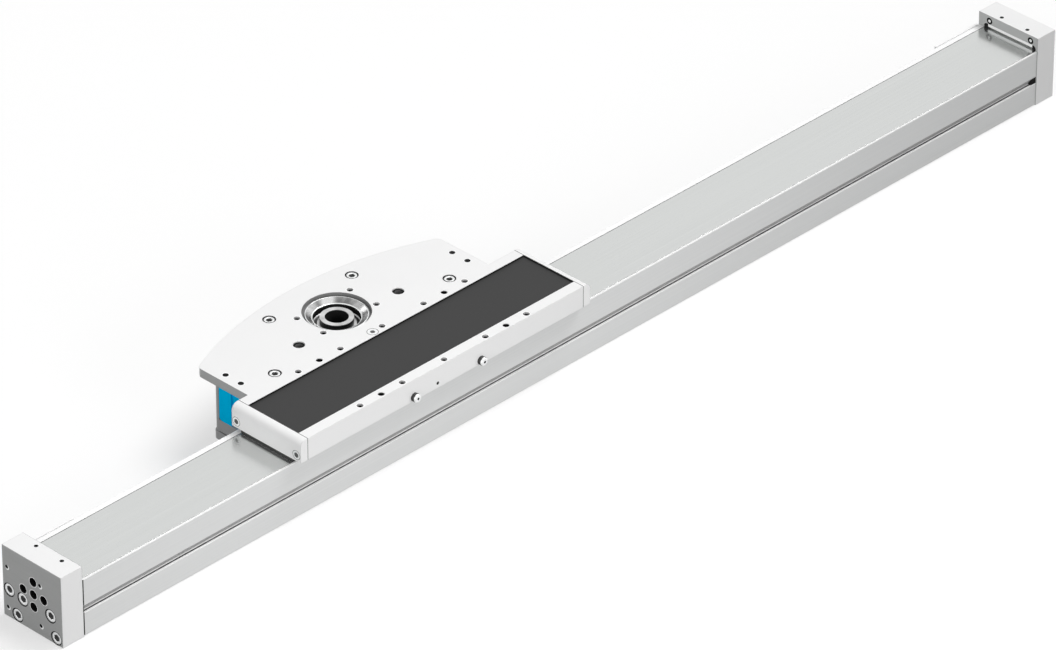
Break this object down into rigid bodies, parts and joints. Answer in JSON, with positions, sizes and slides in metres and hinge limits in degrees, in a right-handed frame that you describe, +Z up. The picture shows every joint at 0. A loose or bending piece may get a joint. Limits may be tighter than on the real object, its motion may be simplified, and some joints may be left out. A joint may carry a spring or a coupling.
{
  "type": "belt driven linear axis",
  "caption": "Linear axis: a slide with an offset belt drive unit runs along a long profile, its guide covered by a steel strip.",
  "frame": {"origin": "centre of the flat underside of the axis, midway between the two end faces", "axes": "+X along the profile towards the far end cap, +Y towards the side that carries the drive unit, +Z up"},
  "size_m": [1.0342, 0.1522, 0.068],
  "materials": {
    "anodised": "natural anodised, fine lengthwise grain",
    "white_caps": "white powder coat",
    "white_metal": "white powder coat",
    "ground_steel": "ground",
    "bright_steel": "turned bright",
    "strip_steel": "brushed lengthwise",
    "belt": "matt",
    "dark_panel": "satin black",
    "black_plastic": "matt black",
    "bearing_seal": "matt black seal",
    "grey_cast": "satin grey",
    "blue_plastic": "satin blue"
  },
  "bodies": {
    "axis": {"profile": "anodised", "end_cap_near": "white_caps", "end_cap_far": "white_caps", "guide_rail": "ground_steel", "strip_clamp_bars": "bright_steel", "belt_clamp_near": "anodised", "belt_clamp_far": "anodised", "belt_clamp_seats": "anodised", "belt_run_near": "belt", "belt_run_far": "belt", "cover_strip_near": "strip_steel", "cover_strip_far": "strip_steel"},
    "slide": {"slide_plate": "white_metal", "cover_panel": "dark_panel", "slide_end_cap_near": "white_metal", "slide_end_cap_far": "white_metal", "strip_wipers": "black_plastic", "strip_guides": "black_plastic", "cover_strip_bow": "strip_steel", "guide_carriage_near": "ground_steel", "guide_carriage_far": "ground_steel", "carriage_seals": "black_plastic", "lube_nipples": "black_plastic", "drive_housing": "grey_cast", "drive_base_plate": "grey_cast", "belt_side_cover_near": "blue_plastic", "belt_side_cover_far": "blue_plastic", "bearing_cover_ring": "bright_steel", "upper_bearing_outer_ring": "bearing_seal", "idler_axles": "ground_steel", "belt_loop": "belt"},
    "pulley": {"drive_pulley": "ground_steel"},
    "idler_near": {"idler_roller_near": "ground_steel"},
    "idler_far": {"idler_roller_far": "ground_steel"}
  },
  "joints": [
    {"name": "slide_travel", "type": "slide", "parent": "axis", "child": "slide", "axis": [1, 0, 0], "range_m": [-0.2031, 0.4969], "deforming": ["cover_strip_near", "cover_strip_far", "belt_run_near", "belt_run_far"]},
    {"name": "pulley_spin", "type": "hinge", "parent": "slide", "child": "pulley", "pos_m": [-0.156, 0.06685, 0.0365], "axis": [0, 0, 1], "continuous": true, "deforming": ["belt_loop"]},
    {"name": "idler_near_spin", "type": "hinge", "parent": "slide", "child": "idler_near", "pos_m": [-0.206, 0.0544, 0.0365], "axis": [0, 0, 1], "continuous": true},
    {"name": "idler_far_spin", "type": "hinge", "parent": "slide", "child": "idler_far", "pos_m": [-0.106, 0.0544, 0.0365], "axis": [0, 0, 1], "continuous": true}
  ],
  "couplings": [
    {"joint": "pulley_spin", "follows": "slide_travel", "rad_per_m": 52.36},
    {"joint": "idler_near_spin", "follows": "slide_travel", "rad_per_m": -40.323},
    {"joint": "idler_far_spin", "follows": "slide_travel", "rad_per_m": -40.323}
  ]
}
